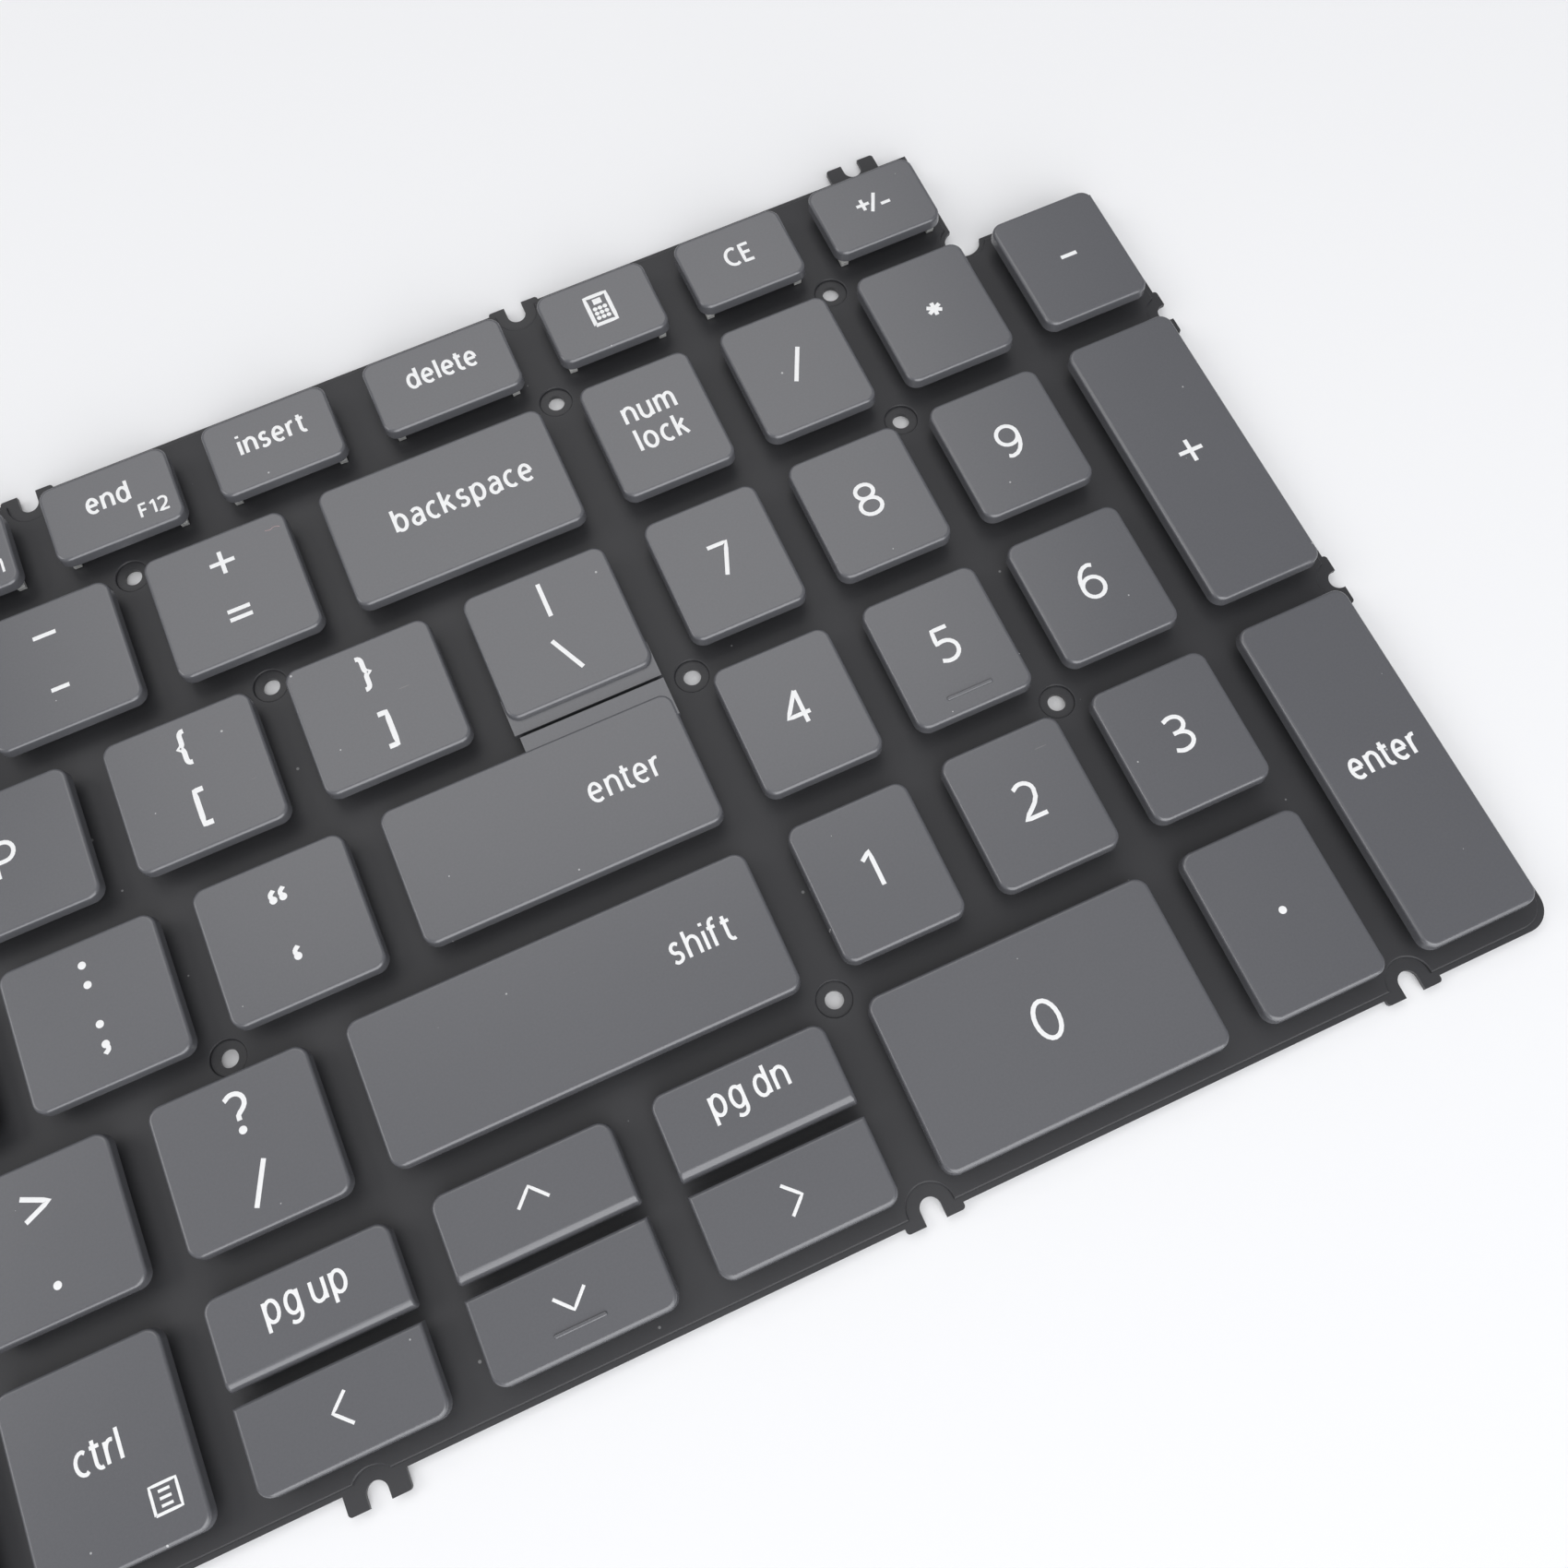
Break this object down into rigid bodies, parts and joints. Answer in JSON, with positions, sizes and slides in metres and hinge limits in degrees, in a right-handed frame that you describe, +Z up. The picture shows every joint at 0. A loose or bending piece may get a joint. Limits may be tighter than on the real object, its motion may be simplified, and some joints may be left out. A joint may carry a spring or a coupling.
{
  "type": "laptop keyboard",
  "caption": "Low-profile laptop keyboard with number pad: satin dark grey caps that travel on rubber domes and scissor links, over a switch membrane and a slotted steel plate.",
  "frame": {"origin": "under the middle of the plate, on its resting face", "axes": "+X to the typist's right, +Y to the rear, +Z up out of the keys"},
  "size_m": [0.3364, 0.109, 0.0039],
  "materials": {
    "plate_paint": "black satin paint on stamped steel",
    "membrane_film": "black printed film",
    "dome_rubber": "translucent silicone rubber",
    "link_plastic": "pale moulded plastic",
    "cap_plastic": "satin dark grey paint"
  },
  "bodies": {
    "base": {"support_plate": "plate_paint", "switch_membrane": "membrane_film", "rubber_domes": "dome_rubber", "scissor_links": "link_plastic", "left_keys": "cap_plastic"},
    "0": {"key_0": "cap_plastic"},
    "9": {"key_9": "cap_plastic"},
    "arrow_down": {"key_arrow_down": "cap_plastic"},
    "arrow_left": {"key_arrow_left": "cap_plastic"},
    "arrow_right": {"key_arrow_right": "cap_plastic"},
    "arrow_up": {"key_arrow_up": "cap_plastic"},
    "backslash": {"key_backslash": "cap_plastic"},
    "backspace": {"key_backspace": "cap_plastic"},
    "calculator": {"key_calculator": "cap_plastic"},
    "clear_entry": {"key_clear_entry": "cap_plastic"},
    "comma": {"key_comma": "cap_plastic"},
    "delete": {"key_delete": "cap_plastic"},
    "enter": {"key_enter": "cap_plastic"},
    "equals": {"key_equals": "cap_plastic"},
    "f10": {"key_f10": "cap_plastic"},
    "f11": {"key_f11": "cap_plastic"},
    "f12": {"key_f12": "cap_plastic"},
    "f9": {"key_f9": "cap_plastic"},
    "i": {"key_i": "cap_plastic"},
    "insert": {"key_insert": "cap_plastic"},
    "k": {"key_k": "cap_plastic"},
    "l": {"key_l": "cap_plastic"},
    "left_bracket": {"key_left_bracket": "cap_plastic"},
    "minus": {"key_minus": "cap_plastic"},
    "o": {"key_o": "cap_plastic"},
    "p": {"key_p": "cap_plastic"},
    "pad_0": {"key_pad_0": "cap_plastic"},
    "pad_1": {"key_pad_1": "cap_plastic"},
    "pad_2": {"key_pad_2": "cap_plastic"},
    "pad_3": {"key_pad_3": "cap_plastic"},
    "pad_4": {"key_pad_4": "cap_plastic"},
    "pad_5": {"key_pad_5": "cap_plastic"},
    "pad_6": {"key_pad_6": "cap_plastic"},
    "pad_7": {"key_pad_7": "cap_plastic"},
    "pad_8": {"key_pad_8": "cap_plastic"},
    "pad_9": {"key_pad_9": "cap_plastic"},
    "pad_add": {"key_pad_add": "cap_plastic"},
    "pad_divide": {"key_pad_divide": "cap_plastic"},
    "pad_dot": {"key_pad_dot": "cap_plastic"},
    "pad_enter": {"key_pad_enter": "cap_plastic"},
    "pad_multiply": {"key_pad_multiply": "cap_plastic"},
    "pad_num_lock": {"key_pad_num_lock": "cap_plastic"},
    "pad_subtract": {"key_pad_subtract": "cap_plastic"},
    "page_down": {"key_page_down": "cap_plastic"},
    "page_up": {"key_page_up": "cap_plastic"},
    "period": {"key_period": "cap_plastic"},
    "plus_minus": {"key_plus_minus": "cap_plastic"},
    "quote": {"key_quote": "cap_plastic"},
    "right_alt": {"key_right_alt": "cap_plastic"},
    "right_bracket": {"key_right_bracket": "cap_plastic"},
    "right_ctrl": {"key_right_ctrl": "cap_plastic"},
    "right_shift": {"key_right_shift": "cap_plastic"},
    "semicolon": {"key_semicolon": "cap_plastic"},
    "slash": {"key_slash": "cap_plastic"},
    "space": {"key_space": "cap_plastic"}
  },
  "joints": [
    {"name": "press_0", "type": "slide", "parent": "base", "child": "0", "axis": [0, 0, -1], "range_m": [0, 0.0013], "stiffness_N_per_m": 460, "deforming": ["rubber_domes", "scissor_links"]},
    {"name": "press_9", "type": "slide", "parent": "base", "child": "9", "axis": [0, 0, -1], "range_m": [0, 0.0013], "stiffness_N_per_m": 460, "deforming": ["rubber_domes", "scissor_links"]},
    {"name": "press_arrow_down", "type": "slide", "parent": "base", "child": "arrow_down", "axis": [0, 0, -1], "range_m": [0, 0.0013], "stiffness_N_per_m": 460, "deforming": ["rubber_domes", "scissor_links"]},
    {"name": "press_arrow_left", "type": "slide", "parent": "base", "child": "arrow_left", "axis": [0, 0, -1], "range_m": [0, 0.0013], "stiffness_N_per_m": 460, "deforming": ["rubber_domes", "scissor_links"]},
    {"name": "press_arrow_right", "type": "slide", "parent": "base", "child": "arrow_right", "axis": [0, 0, -1], "range_m": [0, 0.0013], "stiffness_N_per_m": 460, "deforming": ["rubber_domes", "scissor_links"]},
    {"name": "press_arrow_up", "type": "slide", "parent": "base", "child": "arrow_up", "axis": [0, 0, -1], "range_m": [0, 0.0013], "stiffness_N_per_m": 460, "deforming": ["rubber_domes", "scissor_links"]},
    {"name": "press_backslash", "type": "slide", "parent": "base", "child": "backslash", "axis": [0, 0, -1], "range_m": [0, 0.0013], "stiffness_N_per_m": 460, "deforming": ["rubber_domes", "scissor_links"]},
    {"name": "press_backspace", "type": "slide", "parent": "base", "child": "backspace", "axis": [0, 0, -1], "range_m": [0, 0.0013], "stiffness_N_per_m": 460, "deforming": ["rubber_domes", "scissor_links"]},
    {"name": "press_calculator", "type": "slide", "parent": "base", "child": "calculator", "axis": [0, 0, -1], "range_m": [0, 0.0013], "stiffness_N_per_m": 460, "deforming": ["rubber_domes", "scissor_links"]},
    {"name": "press_clear_entry", "type": "slide", "parent": "base", "child": "clear_entry", "axis": [0, 0, -1], "range_m": [0, 0.0013], "stiffness_N_per_m": 460, "deforming": ["rubber_domes", "scissor_links"]},
    {"name": "press_comma", "type": "slide", "parent": "base", "child": "comma", "axis": [0, 0, -1], "range_m": [0, 0.0013], "stiffness_N_per_m": 460, "deforming": ["rubber_domes", "scissor_links"]},
    {"name": "press_delete", "type": "slide", "parent": "base", "child": "delete", "axis": [0, 0, -1], "range_m": [0, 0.0013], "stiffness_N_per_m": 460, "deforming": ["rubber_domes", "scissor_links"]},
    {"name": "press_enter", "type": "slide", "parent": "base", "child": "enter", "axis": [0, 0, -1], "range_m": [0, 0.0013], "stiffness_N_per_m": 460, "deforming": ["rubber_domes", "scissor_links"]},
    {"name": "press_equals", "type": "slide", "parent": "base", "child": "equals", "axis": [0, 0, -1], "range_m": [0, 0.0013], "stiffness_N_per_m": 460, "deforming": ["rubber_domes", "scissor_links"]},
    {"name": "press_f10", "type": "slide", "parent": "base", "child": "f10", "axis": [0, 0, -1], "range_m": [0, 0.0013], "stiffness_N_per_m": 460, "deforming": ["rubber_domes", "scissor_links"]},
    {"name": "press_f11", "type": "slide", "parent": "base", "child": "f11", "axis": [0, 0, -1], "range_m": [0, 0.0013], "stiffness_N_per_m": 460, "deforming": ["rubber_domes", "scissor_links"]},
    {"name": "press_f12", "type": "slide", "parent": "base", "child": "f12", "axis": [0, 0, -1], "range_m": [0, 0.0013], "stiffness_N_per_m": 460, "deforming": ["rubber_domes", "scissor_links"]},
    {"name": "press_f9", "type": "slide", "parent": "base", "child": "f9", "axis": [0, 0, -1], "range_m": [0, 0.0013], "stiffness_N_per_m": 460, "deforming": ["rubber_domes", "scissor_links"]},
    {"name": "press_i", "type": "slide", "parent": "base", "child": "i", "axis": [0, 0, -1], "range_m": [0, 0.0013], "stiffness_N_per_m": 460, "deforming": ["rubber_domes", "scissor_links"]},
    {"name": "press_insert", "type": "slide", "parent": "base", "child": "insert", "axis": [0, 0, -1], "range_m": [0, 0.0013], "stiffness_N_per_m": 460, "deforming": ["rubber_domes", "scissor_links"]},
    {"name": "press_k", "type": "slide", "parent": "base", "child": "k", "axis": [0, 0, -1], "range_m": [0, 0.0013], "stiffness_N_per_m": 460, "deforming": ["rubber_domes", "scissor_links"]},
    {"name": "press_l", "type": "slide", "parent": "base", "child": "l", "axis": [0, 0, -1], "range_m": [0, 0.0013], "stiffness_N_per_m": 460, "deforming": ["rubber_domes", "scissor_links"]},
    {"name": "press_left_bracket", "type": "slide", "parent": "base", "child": "left_bracket", "axis": [0, 0, -1], "range_m": [0, 0.0013], "stiffness_N_per_m": 460, "deforming": ["rubber_domes", "scissor_links"]},
    {"name": "press_minus", "type": "slide", "parent": "base", "child": "minus", "axis": [0, 0, -1], "range_m": [0, 0.0013], "stiffness_N_per_m": 460, "deforming": ["rubber_domes", "scissor_links"]},
    {"name": "press_o", "type": "slide", "parent": "base", "child": "o", "axis": [0, 0, -1], "range_m": [0, 0.0013], "stiffness_N_per_m": 460, "deforming": ["rubber_domes", "scissor_links"]},
    {"name": "press_p", "type": "slide", "parent": "base", "child": "p", "axis": [0, 0, -1], "range_m": [0, 0.0013], "stiffness_N_per_m": 460, "deforming": ["rubber_domes", "scissor_links"]},
    {"name": "press_pad_0", "type": "slide", "parent": "base", "child": "pad_0", "axis": [0, 0, -1], "range_m": [0, 0.0013], "stiffness_N_per_m": 460, "deforming": ["rubber_domes", "scissor_links"]},
    {"name": "press_pad_1", "type": "slide", "parent": "base", "child": "pad_1", "axis": [0, 0, -1], "range_m": [0, 0.0013], "stiffness_N_per_m": 460, "deforming": ["rubber_domes", "scissor_links"]},
    {"name": "press_pad_2", "type": "slide", "parent": "base", "child": "pad_2", "axis": [0, 0, -1], "range_m": [0, 0.0013], "stiffness_N_per_m": 460, "deforming": ["rubber_domes", "scissor_links"]},
    {"name": "press_pad_3", "type": "slide", "parent": "base", "child": "pad_3", "axis": [0, 0, -1], "range_m": [0, 0.0013], "stiffness_N_per_m": 460, "deforming": ["rubber_domes", "scissor_links"]},
    {"name": "press_pad_4", "type": "slide", "parent": "base", "child": "pad_4", "axis": [0, 0, -1], "range_m": [0, 0.0013], "stiffness_N_per_m": 460, "deforming": ["rubber_domes", "scissor_links"]},
    {"name": "press_pad_5", "type": "slide", "parent": "base", "child": "pad_5", "axis": [0, 0, -1], "range_m": [0, 0.0013], "stiffness_N_per_m": 460, "deforming": ["rubber_domes", "scissor_links"]},
    {"name": "press_pad_6", "type": "slide", "parent": "base", "child": "pad_6", "axis": [0, 0, -1], "range_m": [0, 0.0013], "stiffness_N_per_m": 460, "deforming": ["rubber_domes", "scissor_links"]},
    {"name": "press_pad_7", "type": "slide", "parent": "base", "child": "pad_7", "axis": [0, 0, -1], "range_m": [0, 0.0013], "stiffness_N_per_m": 460, "deforming": ["rubber_domes", "scissor_links"]},
    {"name": "press_pad_8", "type": "slide", "parent": "base", "child": "pad_8", "axis": [0, 0, -1], "range_m": [0, 0.0013], "stiffness_N_per_m": 460, "deforming": ["rubber_domes", "scissor_links"]},
    {"name": "press_pad_9", "type": "slide", "parent": "base", "child": "pad_9", "axis": [0, 0, -1], "range_m": [0, 0.0013], "stiffness_N_per_m": 460, "deforming": ["rubber_domes", "scissor_links"]},
    {"name": "press_pad_add", "type": "slide", "parent": "base", "child": "pad_add", "axis": [0, 0, -1], "range_m": [0, 0.0013], "stiffness_N_per_m": 460, "deforming": ["rubber_domes", "scissor_links"]},
    {"name": "press_pad_divide", "type": "slide", "parent": "base", "child": "pad_divide", "axis": [0, 0, -1], "range_m": [0, 0.0013], "stiffness_N_per_m": 460, "deforming": ["rubber_domes", "scissor_links"]},
    {"name": "press_pad_dot", "type": "slide", "parent": "base", "child": "pad_dot", "axis": [0, 0, -1], "range_m": [0, 0.0013], "stiffness_N_per_m": 460, "deforming": ["rubber_domes", "scissor_links"]},
    {"name": "press_pad_enter", "type": "slide", "parent": "base", "child": "pad_enter", "axis": [0, 0, -1], "range_m": [0, 0.0013], "stiffness_N_per_m": 460, "deforming": ["rubber_domes", "scissor_links"]},
    {"name": "press_pad_multiply", "type": "slide", "parent": "base", "child": "pad_multiply", "axis": [0, 0, -1], "range_m": [0, 0.0013], "stiffness_N_per_m": 460, "deforming": ["rubber_domes", "scissor_links"]},
    {"name": "press_pad_num_lock", "type": "slide", "parent": "base", "child": "pad_num_lock", "axis": [0, 0, -1], "range_m": [0, 0.0013], "stiffness_N_per_m": 460, "deforming": ["rubber_domes", "scissor_links"]},
    {"name": "press_pad_subtract", "type": "slide", "parent": "base", "child": "pad_subtract", "axis": [0, 0, -1], "range_m": [0, 0.0013], "stiffness_N_per_m": 460, "deforming": ["rubber_domes", "scissor_links"]},
    {"name": "press_page_down", "type": "slide", "parent": "base", "child": "page_down", "axis": [0, 0, -1], "range_m": [0, 0.0013], "stiffness_N_per_m": 460, "deforming": ["rubber_domes", "scissor_links"]},
    {"name": "press_page_up", "type": "slide", "parent": "base", "child": "page_up", "axis": [0, 0, -1], "range_m": [0, 0.0013], "stiffness_N_per_m": 460, "deforming": ["rubber_domes", "scissor_links"]},
    {"name": "press_period", "type": "slide", "parent": "base", "child": "period", "axis": [0, 0, -1], "range_m": [0, 0.0013], "stiffness_N_per_m": 460, "deforming": ["rubber_domes", "scissor_links"]},
    {"name": "press_plus_minus", "type": "slide", "parent": "base", "child": "plus_minus", "axis": [0, 0, -1], "range_m": [0, 0.0013], "stiffness_N_per_m": 460, "deforming": ["rubber_domes", "scissor_links"]},
    {"name": "press_quote", "type": "slide", "parent": "base", "child": "quote", "axis": [0, 0, -1], "range_m": [0, 0.0013], "stiffness_N_per_m": 460, "deforming": ["rubber_domes", "scissor_links"]},
    {"name": "press_right_alt", "type": "slide", "parent": "base", "child": "right_alt", "axis": [0, 0, -1], "range_m": [0, 0.0013], "stiffness_N_per_m": 460, "deforming": ["rubber_domes", "scissor_links"]},
    {"name": "press_right_bracket", "type": "slide", "parent": "base", "child": "right_bracket", "axis": [0, 0, -1], "range_m": [0, 0.0013], "stiffness_N_per_m": 460, "deforming": ["rubber_domes", "scissor_links"]},
    {"name": "press_right_ctrl", "type": "slide", "parent": "base", "child": "right_ctrl", "axis": [0, 0, -1], "range_m": [0, 0.0013], "stiffness_N_per_m": 460, "deforming": ["rubber_domes", "scissor_links"]},
    {"name": "press_right_shift", "type": "slide", "parent": "base", "child": "right_shift", "axis": [0, 0, -1], "range_m": [0, 0.0013], "stiffness_N_per_m": 460, "deforming": ["rubber_domes", "scissor_links"]},
    {"name": "press_semicolon", "type": "slide", "parent": "base", "child": "semicolon", "axis": [0, 0, -1], "range_m": [0, 0.0013], "stiffness_N_per_m": 460, "deforming": ["rubber_domes", "scissor_links"]},
    {"name": "press_slash", "type": "slide", "parent": "base", "child": "slash", "axis": [0, 0, -1], "range_m": [0, 0.0013], "stiffness_N_per_m": 460, "deforming": ["rubber_domes", "scissor_links"]},
    {"name": "press_space", "type": "slide", "parent": "base", "child": "space", "axis": [0, 0, -1], "range_m": [0, 0.0013], "stiffness_N_per_m": 460, "deforming": ["rubber_domes", "scissor_links"]}
  ]
}
